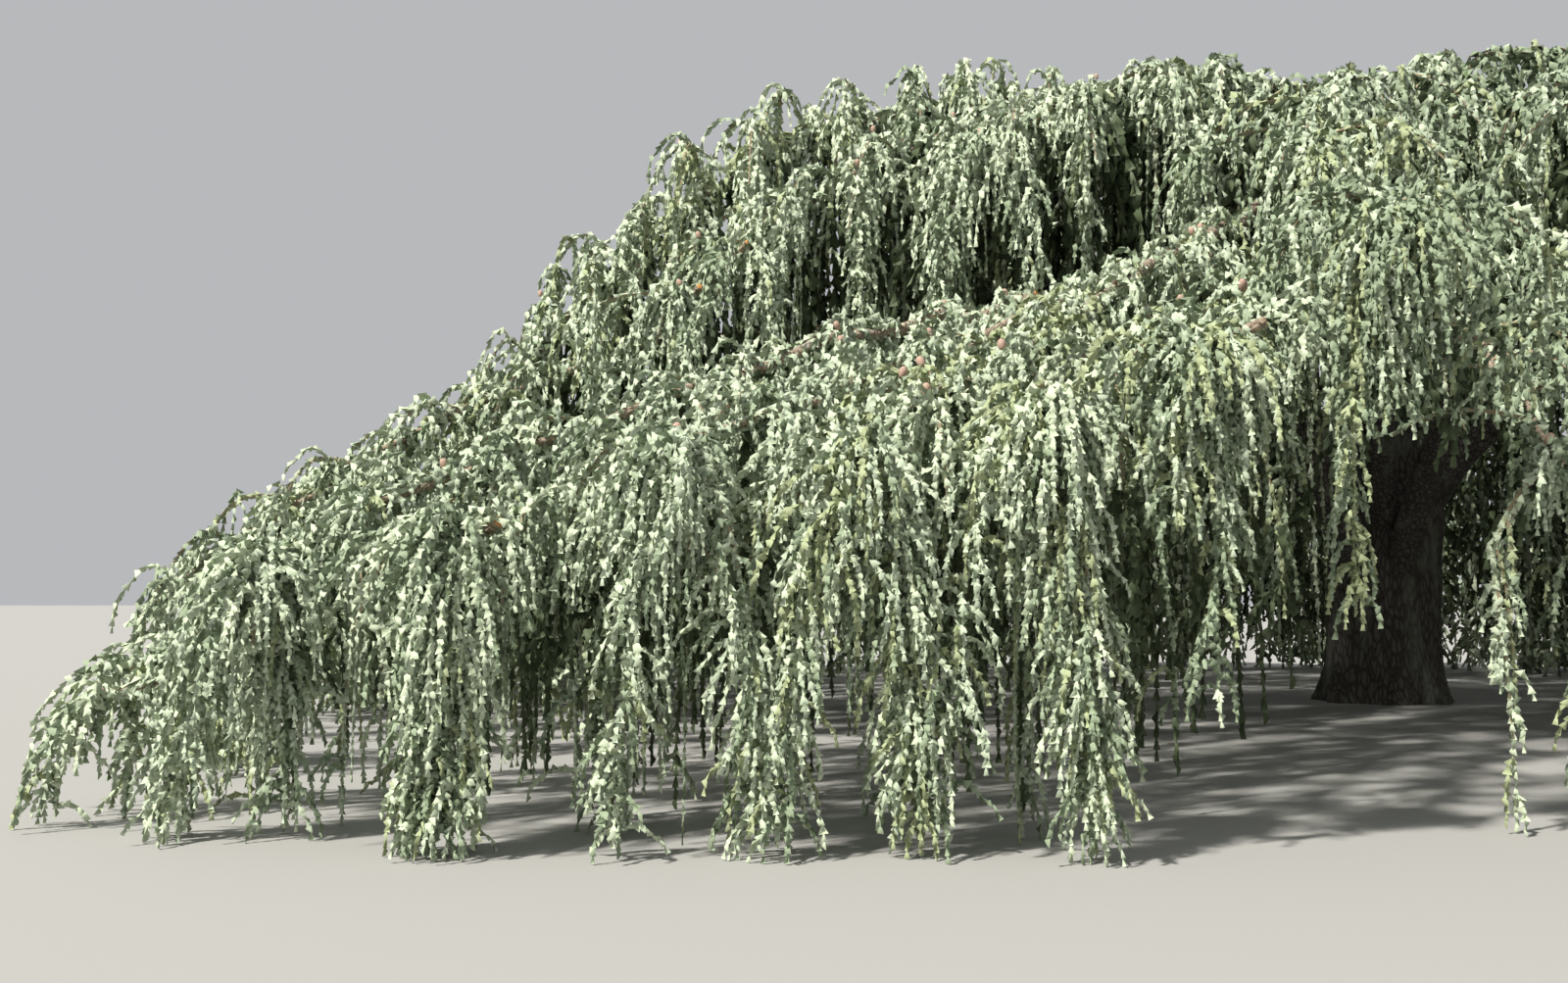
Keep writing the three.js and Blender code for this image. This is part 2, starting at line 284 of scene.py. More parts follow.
# how each kind of bough branches and is dressed
nearKind = {
    "low": True, "far": False,
    "leafFrom": 0.04,  # where along the bough its foliage starts
    "spacing": 1,  # between its branches, against the usual
    "lift": 0.09,  # how high a branch arches, as a share of its reach
    "tips": 6,  # branches at the bough's end
    "tipFan": 45,  # degrees to either side
    "tipReach": 0.42,  # against the room beside the bough, as outerReach is
    "leastAngle": 20,  # between a branch and its bough
    "outerReach": 1.05,
    "sides": 1,  # short tresses down a pillar, against the usual
    "spread": 1,  # and how far they stand out
    "coverSpacing": 1, "innerSpacing": 1,
    "innerLength": 0.8,  # of the longest strand inside the mass, against the curtain
    "domes": 14,  # short tresses over a branch's end
    "domeFall": 1,
}
farKind = {
    **nearKind, "far": True, "spacing": 0.7, "tips": 9, "tipFan": 80, "tipReach": 0.8, "leastAngle": 45,
    "outerReach": 1.2, "sides": 1.4,
}
upperKind = {
    **nearKind, "low": False, "leafFrom": 0.18, "spacing": 0.7, "lift": 0.04, "spread": 0.75,
    "coverSpacing": 0.6, "innerSpacing": 0.33, "innerLength": 0.95, "domes": 10, "domeFall": 1.4,
}
headKind = {**upperKind, "leafFrom": 0.03, "spacing": 0.4, "lift": 0.08}


def leaning(height):
    return trunkShape["lean"] * (height / trunkShape["height"]) ** 2


def trunkRadius(height):
    shape = trunkShape
    if height < shape["shoulder"]:
        foot = max(0, 1 - height / shape["waistHeight"])
        return shape["waist"] * (1 + shape["swell"] * foot * foot)
    share = (height - shape["shoulder"]) / (shape["height"] - shape["shoulder"])
    bole = math.exp(-share * shape["narrowing"])
    return lerp(lerp(shape["leader"], shape["tip"], share), shape["waist"], bole)


def polar(heading, distance, height):
    turn = np.radians(heading)
    return np.stack([distance * np.cos(turn), distance * np.sin(turn), height + 0 * distance], axis=-1)


def limbPath(heading, run, top, spring):
    foot = np.array([leaning(spring), 0, 0])

    def path(share):
        share = np.asarray(share, dtype=float)
        return polar(heading, run * share, lerp(spring, top, np.sin(np.pi / 2 * share))) + foot

    return path


def boughPath(limb, leave, heading, reach, tip, droop):
    foot = np.array([leaning(limb["spring"]), 0, 0])
    high = limb["path"](leave)[2]

    def path(share):
        share = np.asarray(share, dtype=float)
        turned = lerp(limb["heading"], heading, 1 - (1 - share) ** limbShape["turning"])
        distance = lerp(limb["run"] * leave, reach, share)
        return polar(turned, distance, lerp(high, tip, share ** droop)) + foot

    return path


def upperPath(heading, spring, top, run, reach, tip, droop):
    crest = run / reach
    rise = limbPath(heading, run, top, spring)
    foot = np.array([leaning(spring), 0, 0])

    def path(share):
        share = np.asarray(share, dtype=float)
        past = np.clip((share - crest) / (1 - crest), 0, 1)
        beyond = polar(heading, reach * share, lerp(top, tip, past ** droop)) + foot
        before = rise(np.clip(share / crest, 0, 1))
        return np.where((share < crest)[..., None], before, beyond)

    return path


def growLimbs():
    draw = numbers(limbShape["seed"])
    limbs = [dict(zip(("heading", "run", "top", "boughs"), limb)) for limb in measuredLimbs]
    far = farLimbs

    def around(middle, extent):
        return middle + extent * (draw() - 0.5)

    for i in range(far["count"]):
        share = i / (far["count"] - 1)
        heading = lerp(far["from"], far["to"], share)
        reach = lerp(lerp(far["start"], far["end"], share), far["back"], math.sin(math.pi * share))
        top = around(far["top"], far["topVaries"])
        boughs = []
        for side in (1, 0, -1):
            length = around(reach, far["reachVaries"])
            tip = around(far["tip"], far["tipVaries"])
            hem = around(far["hem"], far["hemVaries"])
            droop = far["droop"] + draw()
            boughs.append((heading + side * far["apart"], length, tip, hem, droop, far["room"]))
        limbs.append({"heading": heading, "run": far["run"], "top": top, "boughs": boughs})
    for i, limb in enumerate(limbs):
        limb["spring"] = limbShape["spring"] + limbShape["springStep"] * limbShape["springTurn"][i % 3]
        limb["path"] = limbPath(limb["heading"], limb["run"], limb["top"], limb["spring"])
    return limbs


def growStems(limbs):
    stems = []
    for i, limb in enumerate(limbs):
        kind = nearKind if i < len(measuredLimbs) else farKind
        for leave, (heading, reach, tip, hem, droop, room) in zip(limbShape["leaving"], limb["boughs"]):
            path = boughPath(limb, leave, heading, reach, tip, droop)
            stems.append({"path": path, "hem": hem, "room": room, "kind": kind})
    springs = [upperSpring["from"] + upperSpring["step"] * (i % 3) for i in range(len(upperBoughs))]
    upper = [(upperKind, bough[0], spring, *bough[1:]) for spring, bough in zip(springs, upperBoughs)]
    heads = [(headKind, *bough) for bough in crownHeads]
    for kind, heading, spring, top, run, reach, tip, hem, droop, room in upper + heads:
        path = upperPath(heading, spring, top, run, reach, tip, droop)
        stems.append({"path": path, "hem": hem, "room": room, "kind": kind})

    noise.seed_set(limbShape["swaySeed"])
    for stem in stems:
        share = np.linspace(0, 1, limbShape["points"])
        places = stem["path"](share)
        sway = [noise.noise_vector(Vector(place * limbShape["swayScale"])) for place in places]
        ease = np.minimum(1, 8 * share * (1.05 - share))[:, None]  # none at either end
        stem["line"] = places + np.array(sway) * limbShape["sway"] * ease
        stem["length"] = np.linalg.norm(np.diff(places, axis=0), axis=1).sum()
    return stems


limbs = growLimbs()
stems = growStems(limbs)
print("frame grown:", len(limbs), "limbs,", len(stems), "boughs")


# bark

bark = {
    "furrow": (0.055, 0.045, 0.037),
    "plate": (0.18, 0.168, 0.15),
    "lichen": (0.3, 0.32, 0.27),
    "bough": (0.42, 0.33, 0.24),
    "boughScales": (0.26, 0.2, 0.145),
    "roughness": 0.92,
    "plates": 14, "grain": 34, "patches": 3,  # how many to the metre
    "crackWidth": 0.22,
    "lichenFrom": 0.55, "lichenTo": 0.72, "lichenMost": 0.6,  # of the patches' noise, and how strong
    "trunkStretch": 0.28, "limbStretch": 0.8,  # the less, the longer the plates along the bark
    "relief": 0.8, "reliefDepth": 0.03,
}


def makeBark(name, stretch, furrow, plate):
    finish = Finish(name, bark["roughness"])
    place = finish.place((1, 1, stretch))
    nearness = {"feature": "DISTANCE_TO_EDGE"}
    plates = finish.node("ShaderNodeTexVoronoi", nearness, {"Vector": place, "Scale": bark["plates"]})
    crack = finish.node("ShaderNodeMapRange", sockets={"Value": plates, "From Max": bark["crackWidth"]})
    grain = finish.mottle(place, bark["grain"], 6)
    broad = finish.mottle(place, bark["patches"])
    colour = finish.mix(crack * (0.55 + 0.45 * grain), furrow, plate)
    limits = {"Value": broad, "From Min": bark["lichenFrom"], "From Max": bark["lichenTo"]}
    patch = finish.node("ShaderNodeMapRange", sockets=limits)
    finish.feed("Base Color", finish.mix(patch * bark["lichenMost"], colour, bark["lichen"]))
    height = crack * 0.7 + grain * 0.3
    relief = {"Strength": bark["relief"], "Distance": bark["reliefDepth"], "Height": height}
    finish.feed("Normal", finish.node("ShaderNodeBump", sockets=relief))
    return finish.material


barkFinish = makeBark("trunkBark", bark["trunkStretch"], bark["furrow"], bark["plate"])
limbFinish = makeBark("limbBark", bark["limbStretch"], bark["furrow"], bark["plate"])
boughFinish = makeBark("boughBark", bark["limbStretch"], bark["boughScales"], bark["bough"])


def plainFinish(name, look, gloss=0.25):
    finish = Finish(name, look["roughness"])
    finish.shader.inputs["Specular IOR Level"].default_value = gloss
    spots = finish.mottle(finish.place((1, 1, 1)), look["mottling"], 4)
    finish.feed("Base Color", finish.mix(spots, look["colour"], look["other"]))
    return finish.material


# ridges along the bark; the cut under the trunk stays flat
def sculpt(piece, ridge, stretch, scale):
    fractal = {"H": 0.9, "lacunarity": 2.1, "octaves": 4, "offset": 1, "gain": 2}
    middle = 1.2
    mesh = piece.data
    count = len(mesh.vertices)
    places = np.empty(count * 3)
    outward = np.empty(count * 3)
    mesh.vertices.foreach_get("co", places)
    mesh.vertices.foreach_get("normal", outward)
    places = places.reshape(-1, 3)
    outward = outward.reshape(-1, 3)
    spots = [Vector((x * scale, y * scale, z * scale * stretch)) for x, y, z in places]
    rise = np.array([noise.ridged_multi_fractal(spot, *fractal.values()) - middle for spot in spots])
    level = np.where(places[:, 2] < 0.002, 0, 1)[:, None]
    moved = places + outward * (ridge * rise)[:, None] * np.array([1, 1, 0]) * level
    mesh.vertices.foreach_set("co", moved.ravel())
    mesh.update()


# the trunk is drawn up ring by ring from its flat cut
def makeTrunk():
    shape = trunkShape
    startFresh()
    bpy.ops.mesh.primitive_circle_add(vertices=shape["sides"], radius=trunkRadius(0), fill_type="NGON")
    trunk = bpy.context.object
    trunk.name = "trunk_bark"
    bpy.ops.object.mode_set(mode="EDIT")
    rings = shape["rings"]
    heights = [shape["height"] * (i / rings) ** shape["grading"] for i in range(rings + 1)]
    for low, high in zip(heights, heights[1:]):
        drift = leaning(high) - leaning(low)
        bpy.ops.mesh.extrude_region_move(TRANSFORM_OT_translate={"value": (drift, 0, high - low)})
        widening = trunkRadius(high) / trunkRadius(low)
        bpy.ops.transform.resize(value=(widening, widening, 1), center_override=(leaning(high), 0, high))
    bpy.ops.mesh.select_all(action="SELECT")
    bpy.ops.mesh.normals_make_consistent(inside=False)
    bpy.ops.object.mode_set(mode="OBJECT")
    for vertex in trunk.data.vertices:
        x, y, z = vertex.co
        centre = leaning(z)
        angle = math.atan2(y, x - centre)
        foot = max(0, 1 - z / shape["flareHeight"])
        lobe = shape["lobes"][0] + shape["lobes"][1] * math.cos(shape["flareLobes"] * angle)
        radius = math.hypot(x - centre, y)
        widening = (radius + shape["flareReach"] * foot * foot * lobe) / max(radius, 1e-6)
        vertex.co.x = centre + (x - centre) * widening
        vertex.co.y = y * widening
    trunk.data.update()
    sculpt(trunk, shape["ridge"], shape["ridgeStretch"], shape["ridgeScale"])
    bpy.ops.object.shade_smooth_by_angle(angle=math.radians(shape["smoothAngle"]))
    trunk.data.materials.append(barkFinish)
    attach(trunk, "root")
    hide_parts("trunk")
    print("trunk made")


makeTrunk()


# tapering rods: each is one stroke of a round pen along its path
def drawRods(name, rods, roundness):
    curve = bpy.data.curves.new(name, "CURVE")
    curve.dimensions = "3D"
    curve.bevel_depth = 1
    curve.bevel_resolution = roundness
    curve.use_fill_caps = True
    for places, radii in rods:
        stroke = curve.splines.new("POLY")
        stroke.points.add(len(places) - 1)
        stroke.points.foreach_set("co", np.c_[places, np.ones(len(places))].ravel())
        stroke.points.foreach_set("radius", np.asarray(radii, dtype=float))
    piece = bpy.data.objects.new(name, curve)
    bpy.context.collection.objects.link(piece)
    startFresh()
    piece.select_set(True)
    bpy.context.view_layer.objects.active = piece
    bpy.ops.object.convert(target="MESH")
    return bpy.context.object


def makeLimbs():
    shape = limbShape
    share = np.linspace(0, 1, shape["points"])
    radii = lerp(shape["base"], shape["end"], np.sqrt(share))
    piece = drawRods("limbs_bark", [(limb["path"](share), radii) for limb in limbs], 8)
    sculpt(piece, shape["ridge"], shape["ridgeStretch"], shape["ridgeScale"])
    bpy.ops.object.shade_smooth_by_angle(angle=math.radians(shape["smoothAngle"]))
    piece.data.materials.append(limbFinish)
    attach(piece, "root")
    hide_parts(*[f"limb_{i + 1:02d}" for i in range(len(limbs))])

    rods = []
    for stem in stems:
        base = shape["stemBase"] * min(1, stem["length"] / shape["fullStem"])
        base = max(base, shape["leastTaper"] * shape["stemTip"])
        rods.append((stem["line"], lerp(base, shape["stemTip"], share)))
    piece = drawRods("boughs_bark", rods, 2)
    piece.data.materials.append(boughFinish)
    bpy.ops.object.shade_smooth_by_angle(angle=math.radians(shape["smoothAngle"]))
    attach(piece, "root")
    print("limbs and boughs made")


makeLimbs()


# foliage

# boughs are numbered here in the order in which growStems makes them
growth = {
    "seed": 7,
    "beyond": 0.2,  # how far the finest twigs may reach past the solids
    "lowest": 0.03,  # and how near the ground
    "branchRoom": ((0.6, 0.2, 0), (-0.2, -0.2, 0)),  # how far inside the solids' box the branches end
    "curtain": 2.9, "shortestCurtain": 0.3,
    "curtains": (0.75, 1.45),  # how long a branch's own is, against the usual
    "farCurtain": 1.5,  # and on a far bough's outer part
    "longer": {27: 1.55, 28: 1.4, 29: 1.2},  # the boughs with longer curtains
    "arched": {1: 0.06, 5: -0.08, 27: 0.36, 30: 0, 38: 0.5, 39: 0},  # those whose branches arch otherwise
    "bendDown": 0.32,  # how far a branch's end bends down, as a share of its curtain
    "branchSpacing": 0.66,
    "mostAngle": 82,  # between a branch and its bough, in degrees
    "innerReach": 0.65,  # near the trunk, against the room beside the bough
    "reaches": (0.6, 1.05), "shortestBranch": 0.2,
    "tipAt": 0.975,  # where along the bough the branches at its end start
    "pillarSpacing": 0.58,  # along a branch, between the pillars of foliage that hang from it
    "spraySpacing": 0.066,  # down a pillar, between its short tresses
    "coverSpacing": 0.22,  # along a bough, between the tresses that hide it
    "innerSpacing": 0.3,  # along a bough, between the dark strands inside its mass, which are painted shade
    "skin": 1.0,  # how deep under the highest branches the foliage is full
    # the share of the hidden tresses that grow, and how far the pillars move together as they fall
    "inside": {"left": 0.2, "front": 0.2, "high": 0.35, "far": 0.55, "cover": 0.55, "alone": 1},
    "gather": {"left": 0.45, "front": 0.8, "high": 0.7, "far": 0, "cover": 0, "alone": 0},
    "leftBoughs": 6,  # so many of the first are the left side's
    "columns": 1.0,  # from one column of gathered pillars to the next
    "raised": (9, 10, 11, 12, 13, 14),  # those over the opening, whose twigs end above the masses' hems
    "raisedHem": 2.75,
    "raisedSlope": 0.116, "raisedFrom": -14,  # more of it for each metre in from the crown's front
    "strings": 0.12, "stringSpread": 0.6,  # the share of their pillars that hang on down to the hem, thin
    "slim": {27: (0.9, 0.5), 38: (-0.1, 0.6)},  # those with shorter branches: from where on, and by how much
    "thin": {1: 0.45, 5: 1.3, 9: 0.5},  # those with fewer tresses on their outer branches, or with more
    "sparse": (10, 11, 12, 13, 14, 30, 31), "sparser": 1.3,  # those with their branches further apart
    "boughNeedles": 4,  # lines of needles along a bough
    "shadeFrom": 1.1,  # lower than this the hidden tresses are as fine and pale as the rest, without the painted shade
    "shadeGrain": (1.3, 2),  # how much coarser they are elsewhere, low and high in the crown
    "evenness": 14,  # the higher, the less the boughs' mixes of tones differ
    "ownTone": 0.3,  # how much of its own one tone a branch has
    "shadedBoughs": (9, 10, 11, 12, 13, 14, 30, 31, 32, 39),  # the boughs on the crown's right with less silver and blue on them: their darker mix is painted shade
    "bottomShade": 0.35,  # the share of darker, greener tresses at the bottom of a pillar: painted shade
    "flank": (0.4916, 20.3),  # the plane where the crown's left side ends, seen from the viewing place
    "innerFlank": {4: (0.353, 17.8), 5: (0.4916, 20.6)},  # and where the last boughs end there
    "tuftPerMetre": 0.0046,  # from one tuft of needles to the next, for each metre from the viewing place
    "farther": 0.012, "fartherFrom": 26,  # more of it for each metre of the tree's far side
    "finestTuft": 0.049, "coarsestTuft": 0.18,
    "thinnest": 0.018, "thicker": 0.33,  # how thick a tress is, and how much thicker for its tufts' size
    "usualThickness": 0.033,
    "needles": {"mottling": 2.2, "roughness": 0.6},
    "mostFaces": 195000,  # in one piece
}

# a tone's shadeWeight multiplies its share on the shaded boughs, whose darker mix is painted shade
tones = {
    "silver": {"share": 0.4, "shadeWeight": 0.15, "colour": (0.58, 0.655, 0.48), "other": (0.53, 0.6, 0.435)},
    "blue": {"share": 0.32, "shadeWeight": 0.7, "colour": (0.53, 0.61, 0.455), "other": (0.47, 0.545, 0.4)},
    "grey": {"share": 0.2, "shadeWeight": 3, "colour": (0.33, 0.4, 0.27), "other": (0.265, 0.33, 0.215)},
    "fresh": {"share": 0.08, "shadeWeight": 0.8, "colour": (0.43, 0.485, 0.285), "other": (0.36, 0.41, 0.23)},
    # shade is painted shade: the dark tone of the tresses hidden inside the crown
    "shade": {"share": 0, "colour": (0.12, 0.155, 0.08), "other": (0.07, 0.095, 0.05)},
}

farthest = np.array(cadBox) + np.array(growth["branchRoom"])
widest = np.array(cadBox) + np.array([[-1], [1]]) * growth["beyond"]
widest[0, 2] = growth["lowest"]


def branchHeight(share, reach, hang, lift):
    return lift * reach * np.sin(np.pi * share) - growth["bendDown"] * hang * share ** 4


# a tress leaves its twig outwards and a little upwards, bends over and hangs in slight waves
def tressPath(start, heading, stand, drop, rise, rng, points, bend=1.35):
    t = np.linspace(0, 1, points)
    line = np.repeat(start[None, :], points, axis=0)
    out = stand * (1 - (1 - t) ** 2)
    wave = rng.normal(0, 0.02, 2)
    phase = rng.random(2) * fullTurn
    along = 2.4 * drop * t
    line[:, 0] += out * math.cos(heading) + wave[0] * np.sin(phase[0] + along) * t
    line[:, 1] += out * math.sin(heading) + wave[1] * np.sin(phase[1] + along) * t
    line[:, 2] += rise * stand * np.sin(np.pi * np.minimum(1, 2.2 * t)) - drop * t ** bend
    return np.clip(line, widest[0], widest[1])


def pointOn(line, share):
    place = share * (len(line) - 1)
    low = min(int(place), len(line) - 2)
    return lerp(line[low], line[low + 1], place - low)


# how high the branches stand over each half metre of ground, to tell what shows from what is inside
class Roof:
    cells = 96
    perMetre = 2

    def __init__(self):
        self.heights = np.zeros((self.cells, self.cells))

    def cell(self, x, y):
        middle = self.cells // 2
        return int(x * self.perMetre + middle), int(y * self.perMetre + middle)

    def above(self, x, y):
        i, j = self.cell(x, y)
        last = self.cells - 1
        return self.heights[min(max(i, 0), last), min(max(j, 0), last)]

    def cover(self, places):
        for x, y, z in places:
            i, j = self.cell(x, y)
            patch = self.heights[i - 1:i + 2, j - 1:j + 2]
            np.maximum(patch, z, out=patch)

    def shows(self, place):
        x, y, z = place
        if self.above(x, y) < z + growth["skin"]:
            return True
        outward = math.atan2(y, x)
        viewer = math.atan2(view["place"][1] - y, view["place"][0] - x)
        aside, stepDown = 1.3, 0.2
        for way in (outward, outward + 1, outward - 1, viewer):
            if self.above(x + aside * math.cos(way), y + aside * math.sin(way)) < z + stepDown:
                return True
        return False


# the middle of the column that a pillar gathers to
def columnAt(place):
    cell = np.floor(place[:2] / growth["columns"])
    shift = noise.cell_vector(Vector((cell[0] + 0.5, cell[1] + 0.5, 0)))
    return (cell + lerp(0.25, 0.75, np.array(shift[:2]))) * growth["columns"]


# the dark tresses inside the crown, painted shade, are coarse high up and finer where they show against the
# floor
def shadeGrain(place):
    return lerp(*growth["shadeGrain"], clamped((place[2] - 1) / 2))


# the further off, the larger the tufts
def grainAt(place, coarser=1.0):
    away = np.linalg.norm(place - np.array(view["place"]))
    grain = growth["tuftPerMetre"] * away + growth["farther"] * max(away - growth["fartherFrom"], 0)
    return min(coarser * max(grain, growth["finestTuft"]), growth["coarsestTuft"])


def thickness(grain):
    return growth["thinnest"] + growth["thicker"] * grain


# the thicker the tresses, the fewer
def sparseAt(place):
    return thickness(grainAt(place)) / growth["usualThickness"]


# a pillar: a long tress with short ones down it that arch out, mostly away from the trunk, and fall
pillar = {
    "stray": 0.9,  # how far its heading strays from straight out of the tree, in radians
    "rise": 0.4,
    "points": 12,
    "gathered": 1.5,  # a pillar that falls this far gathers as far as any
    "twigShare": 0.3,  # of the pillars, whose twig shows
    "twig": (0.008, 0.003), "bareTwig": (0.017, 0.003),  # its radius from top to bottom
    "below": 0.15, "lowest": 0.04,  # where its short tresses may end
    "falls": (0.1, 0.42), "shortest": 0.06,
    "least": 0.08,  # how far out they stand
    "rises": (0.1, 0.5), "sprayStray": 1.5,
    "tipSize": 0.6,  # at the end of any tress, against its start
    "litEvery": 3,  # one in so many of the upper crown's hidden tresses keeps the lit tones, without the painted shade
    "bottomShadeGrey": 0.7,  # the share of the darker, greener tresses that are grey, and not fresh
}


class Foliage:
    def __init__(self, rng, roof):
        self.rng = rng
        self.roof = roof
        self.chains = {tone: [] for tone in tones}
        self.twigs = []
        self.metres = 0

    # tufts all along a line: their places and sizes, and whether another follows
    def dress(self, tone, places, size=1.0, coarser=1.0):
        grain = grainAt(places[len(places) // 2], coarser)
        steps = np.linalg.norm(np.diff(places, axis=0), axis=1)
        along = np.concatenate([[0], np.cumsum(steps)])
        self.metres += along[-1]
        count = max(2, round(along[-1] / grain))
        at = np.linspace(0, 1, count + 1)
        knots = np.stack([np.interp(at * along[-1], along, places[:, k]) for k in range(3)], axis=1)
        sizes = thickness(grain) * size * lerp(1, pillar["tipSize"], at ** 2)
        self.chains[tone].append(np.c_[knots, sizes, at < 0.999])

    def hang(self, pick, start, stand, drop, side, sides=1.0, spread=0.3, bare=False):
        rng = self.rng
        face = math.atan2(start[1], start[0])
        heading = face + rng.normal(0, pillar["stray"])
        leader = tressPath(start, heading, stand, drop, pillar["rise"], rng, pillar["points"])
        settling = 1 - (1 - np.linspace(0, 1, pillar["points"])[:, None]) ** 2
        pull = growth["gather"][side] * min(1, drop / pillar["gathered"]) * settling
        leader[:, :2] += pull * (columnAt(leader[-1]) - leader[-1, :2])
        self.dress(pick(), leader)
        if bare or rng.random() < pillar["twigShare"]:
            knots = leader[::2]
            radii = lerp(*pillar["bareTwig" if bare else "twig"], np.linspace(0, 1, len(knots)))
            self.twigs.append((knots, radii))
        count = int(sides * drop / (growth["spraySpacing"] * sparseAt(start)))
        lowest = max(start[2] - drop - pillar["below"], pillar["lowest"])
        for k in range(count):
            at = (k + rng.random()) / count
            root = pointOn(leader, at)
            fall = min(lerp(*pillar["falls"], rng.random() ** 1.3), root[2] - lowest)
            shown = self.roof.shows(root) or side == "alone"
            if fall > pillar["shortest"] and (shown or rng.random() < growth["inside"][side]):
                low = root[2] < growth["shadeFrom"]
                # painted shade: a hidden tress takes the dark shade tone, unless it is low or one of the
                # upper crown's lit ones
                lit = shown or low or side == "high" and k % pillar["litEvery"] == 0
                away = lerp(pillar["least"], spread, rng.random() ** 0.6)
                rise = lerp(*pillar["rises"], rng.random())
                heading = face + rng.normal(0, pillar["sprayStray"])
                places = tressPath(root, heading, away, fall, rise, rng, 7, 1.8)
                # painted shade: the further down a pillar, the more often a tress takes a darker grey or
                # fresh tone
                dull = rng.random() < growth["bottomShade"] * at
                tone = ("grey" if rng.random() < pillar["bottomShadeGrey"] else "fresh") if dull else pick()
                self.dress(tone if lit else "shade", places, 0.95, 1 if lit else shadeGrain(root))


# the branches on both sides of every bough and at its end
def growBranches(rng, roof):
    branches = []
    for i, stem in enumerate(stems):
        kind = stem["kind"]
        stem["raised"] = i in growth["raised"]
        stem["curtain"] = growth["curtain"] * growth["longer"].get(i, 1)
        stem["thin"] = growth["thin"].get(i, 1)
        near = "left" if i < growth["leftBoughs"] else "front" if kind["low"] else "high"
        stem["side"] = "far" if kind["far"] else near
        leafFrom = kind["leafFrom"]
        roof.cover(stem["path"](np.linspace(leafFrom, 1, 60)))
        sparser = growth["sparser"] if i in growth["sparse"] else 1
        spacing = growth["branchSpacing"] * kind["spacing"] * sparser
        lift = growth["arched"].get(i, kind["lift"])
        slope, side = growth["innerFlank"].get(i, growth["flank"])
        slimFrom, slim = growth["slim"].get(i, (1, 1))
        count = int(stem["length"] * (1 - leafFrom) / spacing)
        for k in range(count + kind["tips"]):
            atTip = k >= count
            at = growth["tipAt"] if atTip else lerp(leafFrom, 1, (k + 0.35) / count)
            start = stem["path"](at)
            ahead = stem["path"](min(at + 0.01, 1)) - stem["path"](at - 0.01)
            along = math.degrees(math.atan2(ahead[1], ahead[0]))
            if atTip:
                angle = rng.uniform(-1, 1) * kind["tipFan"]
                reach = kind["tipReach"] * stem["room"]
            else:
                angle = (1 if k % 2 else -1) * lerp(kind["leastAngle"], growth["mostAngle"], rng.random())
                reach = lerp(growth["innerReach"], kind["outerReach"], at) * stem["room"]
            out = polar(along + angle, np.array(1.0), np.array(0.0))
            gaps = np.where(out[:2] > 0, farthest[1, :2] - start[:2], start[:2] - farthest[0, :2])
            reach *= lerp(*growth["reaches"], rng.random())
            reach = min(reach, (gaps / np.maximum(abs(out[:2]), 0.02)).min())
            flank = max(start[0] + slope * start[1] + side, 0)
            reach = min(reach, flank / max(-out[0] - slope * out[1], 0.02))
            reach *= lerp(1, slim, clamped((at - slimFrom) / 0.1))
            length = lerp(*growth["curtains"], rng.random())
            hem = stem["hem"]
            if kind["far"]:
                hem = pillar["lowest"]
                length = growth["farCurtain"] if at > 0.6 else length
            if stem["raised"]:
                inward = start[1] - growth["raisedFrom"]
                hem = max(hem, growth["raisedHem"] + growth["raisedSlope"] * inward)
            hang = max(min(stem["curtain"] * length, start[2] - hem), growth["shortestCurtain"])
            if reach < growth["shortestBranch"]:
                continue
            s = np.linspace(0, 1, 7)
            places = start + out * (reach * s)[:, None]
            places[:, 2] += branchHeight(s, reach, hang, lift)
            roof.cover(places)
            bottom = start[2] - hang
            branches.append({"stem": stem, "at": at, "places": places, "reach": reach, "bottom": bottom})
    return branches


# what grows on a bough itself: needles along it, short tresses over it and dark strands inside its mass,
# which are painted shade
boughDress = {
    "from": 0.1,  # of the leafy part
    "stray": 0.045, "size": 1.2,
    "falls": (0.35, 1.5), "shortest": 0.2,
    "stands": (0.12, 0.5), "sides": 0.8, "spread": 0.26,
    "outerStrands": (0.6, 0.96),  # how long they are, against the height over the hem
    "innerStrands": 0.3,  # against the curtain
    "strandStands": (0.05, 0.65),  # against the room beside the bough
    "shortestStrand": 0.4,
}


